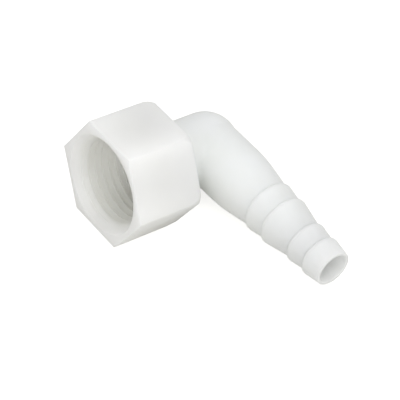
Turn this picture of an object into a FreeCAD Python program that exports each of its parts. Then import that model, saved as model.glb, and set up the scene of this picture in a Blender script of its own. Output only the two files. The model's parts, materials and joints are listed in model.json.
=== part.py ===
"""A barbed swivel elbow: a hexagonal union nut that turns on a one-piece moulded elbow.

The pieces are built with the nut's axis along +X, from its mouth to the elbow's ball corner,
and with the hose tail pointing to -Y. They are then laid on the surface, Z = 0, as they come
to rest: on the rear edge of the nut's lower flat, the ball corner and the tail's shoulder. The
nut's axis then dips towards the ball, and the tail still points to -Y.
"""
import FreeCAD, Part
import math
import os

# Internal parallel pipe thread of the nut, size 1/2
THREAD_MAJOR_R = 10.4775
THREAD_DEPTH = 1.1615

# Union nut
NUT_WALL = 2.0225
NUT_LENGTH = 16.5
NUT_EDGE_R = 0.35
NUT_BEVEL_LENGTH = 2.6
NUT_BEVEL_DEPTH = 0.7
NUT_REAR_WALL = 1.8
LEAD_CLEARANCE = 0.2
LEAD_DEPTH = 1.5
MOUTH_BEVEL = 0.7

# Where the nut turns on the elbow
COLLAR_CLEARANCE = 0.7
COLLAR_STEP = 0.9
COLLAR_THICKNESS = 1.3
COLLAR_BEVEL = 0.4
SWIVEL_CLEARANCE = 0.2
SEAT_CLEARANCE = 0.1
SEAT_STEP = 0.2
SEAT_LEAD = 0.3

# Flat washer that lies on the collar
WASHER_THICKNESS = 1.5
WASHER_CLEARANCE = 0.3
WASHER_BORE_STEP = 0.35

# Stub and ball corner of the elbow
STUB_WALL = 2.45
STUB_REACH = 11.8

# Hose tail, from its open end back to the corner
TAIL_BORE_R = 3.5
TAIL_REACH = 44.4
TIP_WALL = 0.72
TIP_EDGE_R = 0.3
BARB_STEP = 0.45
BARB_LAND = 0.8
BARB_LENGTHS = (4.85, 4.65, 7.5, 5.0)
NECK_WALLS = (0.86, 1.07, 2.07, 2.36)
NECK_LENGTH = 8.8
SHOULDER_WALL = 3.88
TAIL_STEP = 0.25

# Radii and places that follow from the sizes above
THREAD_MINOR_R = THREAD_MAJOR_R - THREAD_DEPTH
NUT_HALF_FLATS = THREAD_MAJOR_R + NUT_WALL
NUT_CORNER_R = NUT_HALF_FLATS / math.cos(math.radians(30))
LEAD_R = THREAD_MAJOR_R + LEAD_CLEARANCE
COLLAR_R = THREAD_MINOR_R - COLLAR_CLEARANCE
STUB_R = COLLAR_R - COLLAR_STEP
STUB_BORE_R = STUB_R - STUB_WALL
BALL_R = STUB_R
TAIL_ROOT_R = BALL_R - TAIL_STEP
TIP_R = TAIL_BORE_R + TIP_WALL
WALL_X = NUT_LENGTH - NUT_REAR_WALL
COLLAR_BACK_X = WALL_X - SEAT_CLEARANCE
COLLAR_FRONT_X = COLLAR_BACK_X - COLLAR_THICKNESS
WASHER_FRONT_X = COLLAR_FRONT_X - WASHER_THICKNESS
THREAD_END_X = WASHER_FRONT_X - SEAT_LEAD
SEAT_R = THREAD_MINOR_R - SEAT_STEP
CORNER_X = NUT_LENGTH + STUB_REACH

V = FreeCAD.Vector
AXIS = V(1, 0, 0)


def turned(outline):
    """Solid of revolution about the X axis, from points of place along it and radius."""
    points = [V(along, radius, 0) for along, radius in outline]
    face = Part.Face(Part.makePolygon(points + points[:1]))
    return face.revolve(V(0, 0, 0), AXIS, 360)


def ring_edges(solid, along, radius):
    """The solid's circular edges of one radius about the X axis, at one place along it."""
    def matches(edge):
        circle = edge.Curve
        return (isinstance(circle, Part.Circle) and abs(circle.Radius - radius) < 1e-4
                and abs(circle.Center.x - along) < 1e-4)
    return [edge for edge in solid.Edges if matches(edge)]


def swivel_nut():
    """Hexagonal nut: lead-in, threaded bore, plain seat for the collar, and a holed rear wall."""
    corners = []
    for step in range(7):
        angle = math.radians(60 * step)
        corners.append(V(0, NUT_CORNER_R * math.cos(angle), NUT_CORNER_R * math.sin(angle)))
    hexagon = Part.Face(Part.makePolygon(corners)).extrude(AXIS * NUT_LENGTH)
    long_edges = [edge for edge in hexagon.Edges if abs(edge.tangentAt(edge.FirstParameter).x) > 0.99]
    hexagon = hexagon.makeFillet(NUT_EDGE_R, long_edges)
    bevelled = turned([(0, 0), (0, NUT_CORNER_R), (NUT_LENGTH - NUT_BEVEL_LENGTH, NUT_CORNER_R),
                       (NUT_LENGTH, NUT_CORNER_R - NUT_BEVEL_DEPTH), (NUT_LENGTH, 0)])
    bore = turned([(0, 0), (0, LEAD_R + MOUTH_BEVEL), (MOUTH_BEVEL, LEAD_R), (LEAD_DEPTH, LEAD_R),
                   (LEAD_DEPTH + LEAD_R - THREAD_MINOR_R, THREAD_MINOR_R),
                   (THREAD_END_X, THREAD_MINOR_R), (THREAD_END_X, SEAT_R), (WALL_X, SEAT_R), (WALL_X, 0)])
    hole = Part.makeCylinder(STUB_R + SWIVEL_CLEARANCE, NUT_LENGTH, V(0, 0, 0), AXIS)
    return hexagon.common(bevelled).cut(bore.fuse(hole))


def tail_outline():
    """Outside of the hose tail as points of distance from the nut's axis and radius, tip first."""
    place = TAIL_REACH
    points = [(place, 0), (place, TIP_R)]
    for length, wall in zip(BARB_LENGTHS, NECK_WALLS):
        place -= length
        neck_r = TAIL_BORE_R + wall
        edge_r = neck_r + BARB_STEP
        points += [(place + BARB_LAND, edge_r), (place, edge_r), (place, neck_r)]
    points.append((place - NECK_LENGTH, TAIL_BORE_R + SHOULDER_WALL))
    return points + [(0, TAIL_ROOT_R), (0, 0)]


def barbed_elbow():
    """Elbow in one piece: collar, stub, ball corner and barbed tail, with two meeting bores."""
    stub = turned([(COLLAR_FRONT_X, 0), (COLLAR_FRONT_X, COLLAR_R - COLLAR_BEVEL),
                   (COLLAR_FRONT_X + COLLAR_BEVEL, COLLAR_R), (COLLAR_BACK_X, COLLAR_R),
                   (COLLAR_BACK_X, STUB_R), (CORNER_X, STUB_R), (CORNER_X, 0)])
    stub_bore = Part.makeCylinder(STUB_BORE_R, CORNER_X - COLLAR_FRONT_X, V(COLLAR_FRONT_X, 0, 0), AXIS)
    corner = V(CORNER_X, 0, 0)
    ball = Part.makeSphere(BALL_R, corner)
    ball_bore = Part.makeSphere(STUB_BORE_R, corner)

    tail = turned(tail_outline())
    tail = tail.makeFillet(TIP_EDGE_R, ring_edges(tail, TAIL_REACH, TIP_R))
    tail_bore = Part.makeCylinder(TAIL_BORE_R, TAIL_REACH, V(0, 0, 0), AXIS)
    for piece in (tail, tail_bore):
        piece.rotate(V(0, 0, 0), V(0, 0, 1), -90)
        piece.translate(corner)
    outside = stub.fuse([ball, tail]).removeSplitter()
    return outside.cut(stub_bore.fuse([ball_bore, tail_bore]))


def sealing_washer():
    """Flat ring that lies on the front of the collar, with a hole slightly wider than the stub's."""
    front = V(WASHER_FRONT_X, 0, 0)
    disc = Part.makeCylinder(SEAT_R - WASHER_CLEARANCE, WASHER_THICKNESS, front, AXIS)
    return disc.cut(Part.makeCylinder(STUB_BORE_R + WASHER_BORE_STEP, WASHER_THICKNESS, front, AXIS))


def resting_angles():
    """Droop of the tail and dip of the nut's axis, in degrees, when the fitting lies at rest.

    The ball's centre is one ball radius above the surface. The droop brings the shoulder's edge
    down to the surface. The dip then does so for the end of the rear edge of the nut's flat.
    """
    shoulder_at = TAIL_REACH - sum(BARB_LENGTHS) - NECK_LENGTH
    shoulder_r = TAIL_BORE_R + SHOULDER_WALL
    droop = math.asin(BALL_R / math.hypot(shoulder_at, shoulder_r)) - math.atan2(shoulder_r, shoulder_at)
    edge_half = math.sqrt((NUT_CORNER_R - NUT_BEVEL_DEPTH) ** 2 - NUT_HALF_FLATS ** 2)
    drop = (BALL_R - edge_half * math.sin(droop)) / math.cos(droop)
    behind = CORNER_X - NUT_LENGTH
    dip = math.atan2(NUT_HALF_FLATS, behind) - math.asin(drop / math.hypot(NUT_HALF_FLATS, behind))
    return math.degrees(droop), math.degrees(dip)


def main():
    os.makedirs("parts", exist_ok=True)
    pieces = {"swivel_nut": swivel_nut(), "barbed_elbow": barbed_elbow(),
              "sealing_washer": sealing_washer()}
    droop, dip = resting_angles()
    for piece in pieces.values():
        piece.rotate(V(0, 0, 0), V(0, 1, 0), dip)
        piece.rotate(V(0, 0, 0), AXIS, droop)
    box = Part.makeCompound(list(pieces.values())).optimalBoundingBox(False, False)
    for name, piece in pieces.items():
        piece.translate(V(-box.Center.x, -box.Center.y, -box.ZMin))
        piece.exportStep("parts/" + name + ".step")
        print(name, "valid", piece.isValid(), "solids", len(piece.Solids), "volume", round(piece.Volume, 1))
    print("droop", round(droop, 4), "dip", round(dip, 4))
    print("mouth at", [round(v, 3) for v in (-box.Center.x, -box.Center.y, -box.ZMin)])
    print("box", [round(v, 3) for v in (box.XLength, box.YLength, box.ZLength)])


main()
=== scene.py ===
"""Looks of the barbed swivel elbow, a natural nylon hose fitting with a threaded union nut.

Every piece is modelled in the fitting's own axes, in millimetres: X runs along the nut's axis
from its mouth, the hose tail points to -Y, and Z is square to both. The finished pieces are
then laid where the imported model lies.
"""
import json
import math

import bpy
from mathutils import Matrix, Vector


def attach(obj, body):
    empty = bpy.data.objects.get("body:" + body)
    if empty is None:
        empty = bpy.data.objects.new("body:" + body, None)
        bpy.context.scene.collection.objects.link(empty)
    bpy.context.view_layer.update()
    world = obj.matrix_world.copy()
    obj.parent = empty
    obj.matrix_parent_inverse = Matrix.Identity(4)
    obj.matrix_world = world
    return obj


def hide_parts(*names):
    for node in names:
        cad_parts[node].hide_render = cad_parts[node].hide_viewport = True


MM = 0.001

# Hexagonal union nut
NUT_CORNER_R = 14.434
NUT_LENGTH = 16.5
NUT_EDGE_R = 0.35
RIM_R = 0.18
REAR_BEVEL_LENGTH = 2.6
REAR_BEVEL_DEPTH = 0.7
MOUTH_BEVEL = 0.7
MOUTH_ROUNDING = 0.2
LEAD_R = 10.678
LEAD_DEPTH = 1.5
LEAD_ROUNDING = 1.2
BORE_ROUNDING = 0.3
SEAT_START = 11.5
SEAT_R = 9.116
SEAT_ROUNDING = 0.1
REAR_WALL_AT = 14.7
REAR_HOLE_R = 7.916

# Internal thread: 1.814 mm pitch, 55 degree flanks, rounded crests and roots
THREAD_MINOR_R = 9.316
THREAD_MAJOR_R = 10.4775
THREAD_PITCH = 1.814
THREAD_ROUNDING = 0.1373 * THREAD_PITCH
FLANK_SLOPE = 27.5
CREST_AT = 2.6
TURNS_AHEAD = 4
TURNS_CUT = 9

# One-piece elbow
COLLAR_FRONT = 13.3
COLLAR_BACK = 14.6
COLLAR_R = 8.616
COLLAR_BEVEL_R = 0.4
COLLAR_BACK_R = 0.1
STUB_R = 7.716
STUB_BORE_R = 5.266
CORNER_AT = 28.3
CREASE_REACH = 1.7
CREASE_FAR_Y = 0.5
CREASE_PASSES = 40

# Hose tail, with each barb's place from the nut's axis and the radius of the neck behind it
TAIL_ROOT_R = 7.466
TAIL_BORE_R = 3.5
TAIL_REACH = 44.4
TIP_R = 4.22
TIP_ROUNDING = 0.25
TIP_LEAD_LENGTH = 0.2
TIP_LEAD_STEP = 0.12
TIP_LEAD_ROUNDING = 0.1
BARBS = ((39.55, 4.36), (34.9, 4.57), (27.4, 5.57), (22.4, 5.86))
BARB_STEP = 0.45
BARB_LAND = 0.8
BARB_LAND_ROUNDING = 0.5
BARB_SLANT = 0.2
BARB_EDGE_ROUNDING = 0.42
SHOULDER_AT = 13.6
SHOULDER_R = 7.38
SHOULDER_ROUNDING = 30
SHOULDER_BLEND = 3

# Flat washer on the collar
WASHER_FRONT = 11.8
WASHER_THICKNESS = 1.5
WASHER_R = 8.816
WASHER_HOLE_R = 5.616
WASHER_EDGE_R = 0.2

# How finely shapes are drawn, and how far cutters reach past what they cut
TURN_STEPS = 144
ARC_DEGREES = 15
BALL_DEGREES = 4
BALL_BORE_DEGREES = 6
WALL_RUNS = 34
EDGE_SEGMENTS = 5
RIM_STEPS = 4
THREAD_ARC_STEPS = 4
SMOOTH_DEGREES = 32
WELD = 1e-4
THREAD_WELD = 1e-3
CUT_PAST = 1
THREAD_CUT_PAST = 0.5

# Finishes: how far light goes into each plastic, and the size of its flow clouds and skin
NUT_GLOW_DEPTH = 10
ELBOW_GLOW_DEPTH = 4
WASHER_GLOW_DEPTH = 1.5
NYLON_CLOUD = 9
SILICONE_CLOUD = 4
MOULD_SKIN = 0.3
MOULD_SKIN_HEIGHT = 0.01

# Floor, lights and camera, with places in the fitting's own axes
FLOOR_SIZE = 4000
FLOOR_EXTRA_WHITE = 0.66
WORLD_STRENGTH = 0.65
LIT_POINT = (20, -15, 0)
SOFT_BOX_PLACE, SOFT_BOX_SIZE, SOFT_BOX_WATTS = (-40, -180, 490), 400, 1.0
FILL_PLACE, FILL_SIZE, FILL_WATTS = (-290, -280, 170), 250, 0.38
CAMERA_PLACE = (-177.11, -203.68, 237.06)
CAMERA_FORWARD = (0.53702, 0.52724, -0.65851)
CAMERA_RIGHT = (0.78229, -0.60336, 0.15488)
CAMERA_LENS = 151.0
CAMERA_SENSOR = 36
CAMERA_CLIP_START = 10

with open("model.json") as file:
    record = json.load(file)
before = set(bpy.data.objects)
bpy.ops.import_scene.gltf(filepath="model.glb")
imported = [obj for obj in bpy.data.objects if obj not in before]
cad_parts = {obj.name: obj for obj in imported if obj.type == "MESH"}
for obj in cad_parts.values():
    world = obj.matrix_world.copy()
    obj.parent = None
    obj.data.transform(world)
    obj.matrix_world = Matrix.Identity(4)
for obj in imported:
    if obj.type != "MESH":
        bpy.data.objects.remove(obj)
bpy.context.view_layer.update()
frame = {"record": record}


def record_axis(name):
    """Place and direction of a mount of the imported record."""
    mount = next(m for m in frame["record"]["mounts"] if m["name"] == name)
    return Vector(mount["pos_m"]), Vector(mount["axis"]).normalized()


def fitting_place():
    """Matrix from the fitting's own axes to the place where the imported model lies."""
    tail_end, tail_axis = record_axis("hose_tail")
    nut_axis = -record_axis("nut_thread")[1]
    mouth = tail_end - tail_axis * TAIL_REACH * MM - nut_axis * CORNER_AT * MM
    columns = Matrix((nut_axis, -tail_axis, nut_axis.cross(-tail_axis))).transposed()
    return Matrix.Translation(mouth) @ columns.to_4x4()


PLACE = fitting_place()


# Modelling

def pick(piece):
    """Makes a piece the only one that the next operators act on."""
    bpy.ops.object.select_all(action="DESELECT")
    bpy.context.view_layer.objects.active = piece
    piece.select_set(True)


def edit(piece):
    pick(piece)
    bpy.ops.object.mode_set(mode="EDIT")


def leave_edit():
    bpy.ops.object.mode_set(mode="OBJECT")


def rounded(corners):
    """Points of a section whose corners, (along the axis, radius, rounding), become arcs."""
    points = []
    for k, (along, radius, rounding) in enumerate(corners):
        corner = Vector((along, radius))
        if not rounding:
            points.append(corner)
            continue
        before = Vector(corners[k - 1][:2]) - corner
        after = Vector(corners[(k + 1) % len(corners)][:2]) - corner
        half = before.angle(after) / 2
        centre = corner + (before.normalized() + after.normalized()).normalized() * rounding / math.sin(half)
        start = corner + before.normalized() * rounding / math.tan(half) - centre
        end = corner + after.normalized() * rounding / math.tan(half) - centre
        steps = max(2, round(math.degrees(start.angle(end)) / ARC_DEGREES))
        points += [centre + start.slerp(end, step / steps) * rounding for step in range(steps + 1)]
    return points


def draw_section(name, corners, closed=False):
    """Wire of a turned or swept section, drawn by extruding one point from corner to corner."""
    points = rounded(corners)
    bpy.ops.object.select_all(action="DESELECT")
    bpy.ops.mesh.primitive_plane_add(size=0.1, location=(0, 0, 0))
    piece = bpy.context.active_object
    piece.name = name
    edit(piece)
    bpy.ops.mesh.select_all(action="SELECT")
    bpy.ops.mesh.merge(type="CENTER")
    bpy.ops.transform.translate(value=(*points[0], 0))
    for last, point in zip(points, points[1:]):
        bpy.ops.mesh.extrude_region_move(TRANSFORM_OT_translate={"value": (*(point - last), 0)})
    if closed:
        bpy.ops.mesh.extrude_region_move(TRANSFORM_OT_translate={"value": (*(points[0] - points[-1]), 0)})
        bpy.ops.mesh.select_all(action="SELECT")
        bpy.ops.mesh.remove_doubles(threshold=WELD)
    leave_edit()
    return piece


def turned(name, corners, closed=False):
    """Solid that a section makes by turning about the nut's axis."""
    piece = draw_section(name, corners, closed)
    edit(piece)
    bpy.ops.mesh.select_all(action="SELECT")
    bpy.ops.mesh.spin(steps=TURN_STEPS, angle=2 * math.pi, center=(0, 0, 0), axis=(1, 0, 0))
    bpy.ops.mesh.select_all(action="SELECT")
    bpy.ops.mesh.remove_doubles(threshold=WELD)
    bpy.ops.mesh.normals_make_consistent(inside=False)
    leave_edit()
    return piece


def apply_modifier(piece, kind, **settings):
    pick(piece)
    modifier = piece.modifiers.new(kind.title(), kind)
    for name, value in settings.items():
        setattr(modifier, name, value)
    bpy.ops.object.modifier_apply(modifier=modifier.name)


def combine(piece, other, operation):
    """Joins, cuts or crops a piece with another solid, which is used up."""
    apply_modifier(piece, "BOOLEAN", object=other, operation=operation, solver="EXACT")
    bpy.data.objects.remove(other)


def lay_in_place(piece):
    """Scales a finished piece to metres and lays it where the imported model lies."""
    piece.matrix_world = PLACE @ Matrix.Scale(MM, 4)
    pick(piece)
    bpy.ops.object.transform_apply(location=True, rotation=True, scale=True)
    bpy.ops.object.shade_smooth_by_angle(angle=math.radians(SMOOTH_DEGREES))


def thread_tap():
    """Solid of the male form of the nut's thread, from ahead of the mouth to past the seat.

    The section of one pitch starts at a crest of the nut's thread. Rounded crest and root are
    arcs that end where the straight slope of the flank starts.
    """
    sweep = math.radians(90 - FLANK_SLOPE)
    turns = [sweep * k / THREAD_ARC_STEPS for k in range(THREAD_ARC_STEPS + 1)]
    arc = [(THREAD_ROUNDING * math.sin(a), THREAD_ROUNDING * (1 - math.cos(a))) for a in turns]
    half = [(a, THREAD_MINOR_R + r) for a, r in arc]
    half += [(THREAD_PITCH / 2 - a, THREAD_MAJOR_R - r) for a, r in reversed(arc)]
    whole = half + [(THREAD_PITCH - a, r) for a, r in reversed(half[:-1])]
    first = CREST_AT - TURNS_AHEAD * THREAD_PITCH
    tap = draw_section("thread tap", [(first + a, r, 0) for a, r in whole])
    # The section stands on the +Y side and the crest is stated for the -Z side, which is a
    # quarter turn back about X, so the thread starts a quarter pitch further in.
    edit(tap)
    bpy.ops.mesh.select_all(action="SELECT")
    bpy.ops.transform.translate(value=(THREAD_PITCH / 4, 0, 0))
    leave_edit()
    apply_modifier(tap, "SCREW", axis="X", angle=2 * math.pi, screw_offset=THREAD_PITCH, iterations=TURNS_CUT,
                   steps=TURN_STEPS, render_steps=TURN_STEPS, use_merge_vertices=True, merge_threshold=WELD)
    edit(tap)
    bpy.ops.mesh.select_all(action="SELECT")
    bpy.ops.mesh.remove_doubles(threshold=THREAD_WELD)
    bpy.ops.mesh.select_all(action="DESELECT")
    bpy.ops.mesh.select_non_manifold()
    bpy.ops.mesh.fill_holes(sides=0)
    bpy.ops.mesh.select_all(action="SELECT")
    bpy.ops.mesh.normals_make_consistent(inside=False)
    leave_edit()
    return tap


def round_end(piece, outwards):
    """Grows the end of a prism that faces one way along the nut's axis, with a rounded rim."""
    square_on = 0.9
    for polygon in piece.data.polygons:
        polygon.select = polygon.normal.x * outwards > square_on
    arc = [math.pi / 2 * k / RIM_STEPS for k in range(RIM_STEPS + 1)]
    edit(piece)
    for low, high in zip(arc, arc[1:]):
        bpy.ops.mesh.inset(thickness=RIM_R * (math.cos(low) - math.cos(high)),
                           depth=RIM_R * (math.sin(high) - math.sin(low)))
    leave_edit()


def nut_prism():
    """Hexagonal prism along the nut's axis, with its long edges and both rims rounded."""
    bpy.ops.object.select_all(action="DESELECT")
    bpy.ops.mesh.primitive_cylinder_add(vertices=6, radius=NUT_CORNER_R, depth=NUT_LENGTH - 2 * RIM_R,
                                        location=(NUT_LENGTH / 2, 0, 0), rotation=(0, math.pi / 2, 0))
    nut = bpy.context.active_object
    nut.name = "union nut"
    bpy.ops.object.transform_apply(location=True, rotation=True, scale=True)
    for edge in nut.data.edges:
        ends = [nut.data.vertices[i].co for i in edge.vertices]
        edge.select = abs(ends[0].x - ends[1].x) > NUT_LENGTH / 2
    for part in (*nut.data.vertices, *nut.data.polygons):
        part.select = False
    bpy.context.tool_settings.mesh_select_mode = (False, True, False)
    edit(nut)
    bpy.ops.mesh.bevel(offset=NUT_EDGE_R * math.tan(math.radians(30)), segments=EDGE_SEGMENTS)
    bpy.ops.mesh.select_all(action="DESELECT")
    leave_edit()
    bpy.context.tool_settings.mesh_select_mode = (False, False, True)
    round_end(nut, -1)
    round_end(nut, 1)
    bpy.context.tool_settings.mesh_select_mode = (True, False, False)
    return nut


def union_nut():
    """Hexagonal nut with softened edges, a bevelled rear, a cut thread and a holed rear wall."""
    nut = nut_prism()
    past = CUT_PAST
    slope = REAR_BEVEL_DEPTH / REAR_BEVEL_LENGTH
    slope_start = NUT_LENGTH - REAR_BEVEL_LENGTH - past
    envelope = turned("nut envelope", [(-past, 0, 0), (-past, NUT_CORNER_R + past, 0),
                                       (slope_start, NUT_CORNER_R + slope * past, 0),
                                       (NUT_LENGTH, NUT_CORNER_R - REAR_BEVEL_DEPTH, RIM_R),
                                       (NUT_LENGTH, 0, 0)])
    combine(nut, envelope, "INTERSECT")

    cone = LEAD_R - THREAD_MINOR_R
    bore = turned("nut bore", [(-past, 0, 0), (-past, LEAD_R + MOUTH_BEVEL + past, 0),
                               (0, LEAD_R + MOUTH_BEVEL, MOUTH_ROUNDING), (LEAD_DEPTH, LEAD_R, LEAD_ROUNDING),
                               (LEAD_DEPTH + cone, THREAD_MINOR_R, BORE_ROUNDING),
                               (SEAT_START, THREAD_MINOR_R, 0),
                               (SEAT_START, SEAT_R, 0), (REAR_WALL_AT, SEAT_R, SEAT_ROUNDING),
                               (REAR_WALL_AT, REAR_HOLE_R, 0), (NUT_LENGTH + past, REAR_HOLE_R, 0),
                               (NUT_LENGTH + past, 0, 0)])
    tap = thread_tap()
    crop_r = LEAD_R + THREAD_CUT_PAST
    crop = turned("thread crop", [(-THREAD_CUT_PAST, 0, 0), (-THREAD_CUT_PAST, crop_r, 0),
                                  (SEAT_START, crop_r, 0), (SEAT_START, 0, 0)])
    combine(tap, crop, "INTERSECT")
    combine(nut, bore, "DIFFERENCE")
    combine(nut, tap, "DIFFERENCE")
    return nut


def between(start, end):
    """Plain section points that divide a long straight run evenly."""
    along, outwards = end[0] - start[0], end[1] - start[1]
    return [(start[0] + along * k / WALL_RUNS, start[1] + outwards * k / WALL_RUNS, 0)
            for k in range(1, WALL_RUNS)]


def quarter_ball(radius, degrees):
    """Section points of the ball's quarter round the elbow's corner, without its last point."""
    angles = [math.radians(a) for a in range(0, 90, degrees)]
    return [(CORNER_AT + radius * math.sin(a), radius * math.cos(a), 0) for a in angles]


def soften_inner_corner(elbow):
    """Rounds the crease between stub and tail, as the mould's own fillet does."""
    for vertex in elbow.data.vertices:
        x, y, z = vertex.co
        from_stub = abs(math.hypot(y, z) - STUB_R)
        from_tail = abs(math.hypot(x - CORNER_AT, z) - TAIL_ROOT_R)
        near = from_stub < CREASE_REACH and from_tail < CREASE_REACH
        vertex.select = near and x < CORNER_AT and y < CREASE_FAR_Y
    for part in (*elbow.data.edges, *elbow.data.polygons):
        part.select = False
    edit(elbow)
    bpy.ops.mesh.vertices_smooth(factor=0.5, repeat=CREASE_PASSES)
    leave_edit()


def tail_section():
    """Section of the barbed tail along X, from its tip back to the nut's axis."""
    corners = [(TAIL_REACH, 0, 0), (TAIL_REACH, TIP_R, TIP_ROUNDING)]
    for place, neck_r in BARBS:
        edge_r = neck_r + BARB_STEP
        corners += [(place + BARB_LAND, edge_r, BARB_LAND_ROUNDING),
                    (place + BARB_SLANT, edge_r, BARB_EDGE_ROUNDING),
                    (place - BARB_SLANT, neck_r, BARB_EDGE_ROUNDING)]
    corners.append((SHOULDER_AT, SHOULDER_R, SHOULDER_ROUNDING))
    # The run to the root starts where the shoulder's rounding has ended
    run = between((SHOULDER_AT, SHOULDER_R), (0, TAIL_ROOT_R))
    corners += [corner for corner in run if corner[0] < SHOULDER_AT - SHOULDER_BLEND]
    return corners + [(0, TAIL_ROOT_R, 0), (0, 0, 0)]


def hose_elbow():
    """Collar, stub and ball corner turned about the nut's axis, with the barbed tail joined on."""
    elbow = turned("hose elbow", [(COLLAR_FRONT, 0, 0), (COLLAR_FRONT, COLLAR_R, COLLAR_BEVEL_R),
                                  (COLLAR_BACK, COLLAR_R, COLLAR_BACK_R), (COLLAR_BACK, STUB_R, 0)]
                   + between((COLLAR_BACK, STUB_R), (CORNER_AT, STUB_R))
                   + quarter_ball(STUB_R, BALL_DEGREES) + [(CORNER_AT + STUB_R, 0, 0)])
    tail = turned("hose tail", tail_section())
    lead_r = TAIL_BORE_R + TIP_LEAD_STEP
    tail_bore = turned("tail bore", [(0, 0, 0), (0, TAIL_BORE_R, 0),
                                     (TAIL_REACH - TIP_LEAD_LENGTH, TAIL_BORE_R, TIP_LEAD_ROUNDING),
                                     (TAIL_REACH, lead_r, 0), (TAIL_REACH + CUT_PAST, lead_r, 0),
                                     (TAIL_REACH + CUT_PAST, 0, 0)])
    for piece in (tail, tail_bore):
        piece.data.transform(Matrix.Translation((CORNER_AT, 0, 0)) @ Matrix.Rotation(-math.pi / 2, 4, "Z"))
    bore_start = COLLAR_FRONT - CUT_PAST
    stub_bore = turned("stub bore", [(bore_start, 0, 0), (bore_start, STUB_BORE_R, 0)]
                       + quarter_ball(STUB_BORE_R, BALL_BORE_DEGREES) + [(CORNER_AT + STUB_BORE_R, 0, 0)])
    combine(elbow, tail, "UNION")
    soften_inner_corner(elbow)
    combine(elbow, stub_bore, "DIFFERENCE")
    combine(elbow, tail_bore, "DIFFERENCE")
    return elbow


def flat_washer():
    """Flat moulded ring with softened edges."""
    back = WASHER_FRONT + WASHER_THICKNESS
    ring = [(WASHER_FRONT, WASHER_HOLE_R), (WASHER_FRONT, WASHER_R), (back, WASHER_R), (back, WASHER_HOLE_R)]
    return turned("flat washer", [(*corner, WASHER_EDGE_R) for corner in ring], closed=True)


# Finishes

def srgb(code):
    """Linear colour of an sRGB hex value."""
    values = [int(code[i:i + 2], 16) / 255 for i in (0, 2, 4)]
    return [v / 12.92 if v <= 0.04045 else ((v + 0.055) / 1.055) ** 2.4 for v in values] + [1.0]


def add_node(tree, kind, settings=None, **links):
    """Adds a node, sets its properties and socket values, and links the sockets it is given."""
    node = tree.nodes.new(kind)
    for name, value in (settings or {}).items():
        if name in node.inputs:
            node.inputs[name].default_value = value
        else:
            setattr(node, name, value)
    for name, source in links.items():
        tree.links.new(source, node.inputs[name.replace("_", " ")])
    return node


def new_material(name, **sockets):
    """New material, its node tree and its shader, with the shader's constants set."""
    material = bpy.data.materials.new(name)
    material.use_nodes = True
    tree = material.node_tree
    shader = tree.nodes["Principled BSDF"]
    for socket, value in sockets.items():
        shader.inputs[socket.replace("_", " ")].default_value = value
    return material, tree, shader


def cloudy_tint(tree, shader, size, detail, pale, deep):
    """Tints the shader in soft clouds between two shades, and returns the place and the clouds."""
    place = add_node(tree, "ShaderNodeTexCoord").outputs["Object"]
    clouds = add_node(tree, "ShaderNodeTexNoise", {"Scale": 1 / (size * MM), "Detail": detail}, Vector=place)
    tint = add_node(tree, "ShaderNodeMix", {"data_type": "RGBA"})
    tree.links.new(clouds.outputs["Fac"], tint.inputs[0])
    tint.inputs[6].default_value = srgb(pale)
    tint.inputs[7].default_value = srgb(deep)
    tree.links.new(tint.outputs[2], shader.inputs["Base Color"])
    return place, clouds.outputs["Fac"]


def natural_nylon(name, pale, deep, depth):
    """Natural nylon 66, injection moulded: satin, slightly milky, with faint flow clouds."""
    # Light goes several millimetres into natural nylon, so thin walls and the bores glow
    material, tree, shader = new_material(name, IOR=1.53, Subsurface_Weight=1.0,
                                          Subsurface_Radius=(1.0, 0.99, 0.96), Subsurface_Scale=depth * MM)
    place, clouds = cloudy_tint(tree, shader, NYLON_CLOUD, 3.0, pale, deep)
    sheen = add_node(tree, "ShaderNodeMapRange", {"To Min": 0.46, "To Max": 0.58}, Value=clouds)
    tree.links.new(sheen.outputs["Result"], shader.inputs["Roughness"])
    # Fine texture of a blasted mould, drawn as coarse as it needs to be to show
    skin = add_node(tree, "ShaderNodeTexNoise", {"Scale": 1 / (MOULD_SKIN * MM), "Detail": 2.0}, Vector=place)
    relief = add_node(tree, "ShaderNodeBump", {"Strength": 0.12, "Distance": MOULD_SKIN_HEIGHT * MM},
                      Height=skin.outputs["Fac"])
    tree.links.new(relief.outputs["Normal"], shader.inputs["Normal"])
    return material


def moulded_silicone():
    """Silicone rubber, moulded: milky, softly translucent and matt."""
    material, tree, shader = new_material("moulded silicone", IOR=1.41, Roughness=0.6, Subsurface_Weight=0.6,
                                          Subsurface_Radius=(1.0, 0.95, 0.9),
                                          Subsurface_Scale=WASHER_GLOW_DEPTH * MM)
    cloudy_tint(tree, shader, SILICONE_CLOUD, 2.0, "F4F4EE", "ECECE4")
    return material


nut_nylon = natural_nylon("natural nylon, nut", "FCFCF4", "F8F8F0", NUT_GLOW_DEPTH)
elbow_nylon = natural_nylon("natural nylon, elbow", "EDEFF0", "E3E5E2", ELBOW_GLOW_DEPTH)
silicone = moulded_silicone()

for build, node, body, slot, material in (
        (union_nut, "swivel_nut", "nut", "nut_nylon", nut_nylon),
        (hose_elbow, "barbed_elbow", "elbow", "elbow_nylon", elbow_nylon),
        (flat_washer, "sealing_washer", "elbow", "washer_silicone", silicone)):
    piece = build()
    lay_in_place(piece)
    piece.name = piece.name.replace(" ", "_")
    piece.data.materials.clear()
    piece.data.materials.append(material)
    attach(piece, body)
    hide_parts(node)


# Floor, lights and camera

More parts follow.
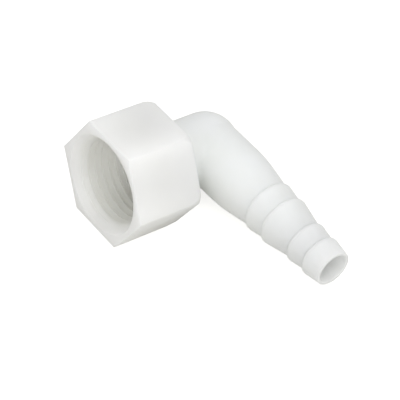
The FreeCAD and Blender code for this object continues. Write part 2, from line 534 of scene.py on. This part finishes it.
def pale_floor():
    """White paper: camera rays get some extra white, and the fitting's shadow stays."""
    bpy.ops.object.select_all(action="DESELECT")
    bpy.ops.mesh.primitive_plane_add(size=FLOOR_SIZE * MM, location=(0, 0, 0))
    floor = bpy.context.active_object
    floor.name = "floor"
    material, tree, shader = new_material("white paper", Base_Color=srgb("D6D5D1"), Roughness=1.0,
                                          Specular_IOR_Level=0.0, Emission_Color=(1, 1, 1, 1))
    rays = add_node(tree, "ShaderNodeLightPath")
    extra = add_node(tree, "ShaderNodeMath", {"operation": "MULTIPLY"})
    tree.links.new(rays.outputs["Is Camera Ray"], extra.inputs[0])
    extra.inputs[1].default_value = FLOOR_EXTRA_WHITE
    tree.links.new(extra.outputs[0], shader.inputs["Emission Strength"])
    floor.data.materials.append(material)


def soft_light(name, place, size, watts):
    """Square soft box that faces the middle of the fitting."""
    lamp = bpy.data.lights.new(name, "AREA")
    lamp.shape = "SQUARE"
    lamp.size = size * MM
    lamp.energy = watts
    lamp_object = bpy.data.objects.new(name, lamp)
    bpy.context.scene.collection.objects.link(lamp_object)
    lamp_object.location = PLACE @ (Vector(place) * MM)
    direction = PLACE @ (Vector(LIT_POINT) * MM) - lamp_object.location
    lamp_object.rotation_euler = direction.to_track_quat("-Z", "Y").to_euler()


def studio_world(strength):
    """Even white surround, which lights the fitting softly and is seen at full white."""
    world = bpy.data.worlds.new("studio")
    bpy.context.scene.world = world
    world.use_nodes = True
    tree = world.node_tree
    tree.nodes.clear()
    rays = add_node(tree, "ShaderNodeLightPath")
    seen = add_node(tree, "ShaderNodeMath", {"operation": "MAXIMUM"})
    tree.links.new(rays.outputs["Is Camera Ray"], seen.inputs[0])
    tree.links.new(rays.outputs["Is Transmission Ray"], seen.inputs[1])
    dim = add_node(tree, "ShaderNodeBackground", {"Color": (1, 1, 1, 1), "Strength": strength})
    white = add_node(tree, "ShaderNodeBackground", {"Color": (1, 1, 1, 1), "Strength": 1.0})
    mix = add_node(tree, "ShaderNodeMixShader")
    for socket, source in enumerate((seen, dim, white)):
        tree.links.new(source.outputs[0], mix.inputs[socket])
    out = add_node(tree, "ShaderNodeOutputWorld")
    tree.links.new(mix.outputs[0], out.inputs[0])


def photo_camera():
    """Camera at the photo's viewing angle, which was fitted in the fitting's own axes."""
    camera = bpy.data.cameras.new("camera")
    camera.lens = CAMERA_LENS
    camera.sensor_width = CAMERA_SENSOR
    camera.clip_start = CAMERA_CLIP_START * MM
    camera.dof.use_dof = False
    camera_object = bpy.data.objects.new("camera", camera)
    bpy.context.scene.collection.objects.link(camera_object)
    forward = Vector(CAMERA_FORWARD).normalized()
    right = Vector(CAMERA_RIGHT).normalized()
    up = right.cross(forward).normalized()
    aim = Matrix((right, up, -forward)).transposed().to_4x4()
    camera_object.matrix_world = PLACE @ Matrix.Translation(Vector(CAMERA_PLACE) * MM) @ aim
    bpy.context.scene.camera = camera_object


pale_floor()
studio_world(WORLD_STRENGTH)
soft_light("soft box", SOFT_BOX_PLACE, SOFT_BOX_SIZE, SOFT_BOX_WATTS)
soft_light("fill", FILL_PLACE, FILL_SIZE, FILL_WATTS)
photo_camera()
bpy.context.scene.view_settings.view_transform = "Standard"
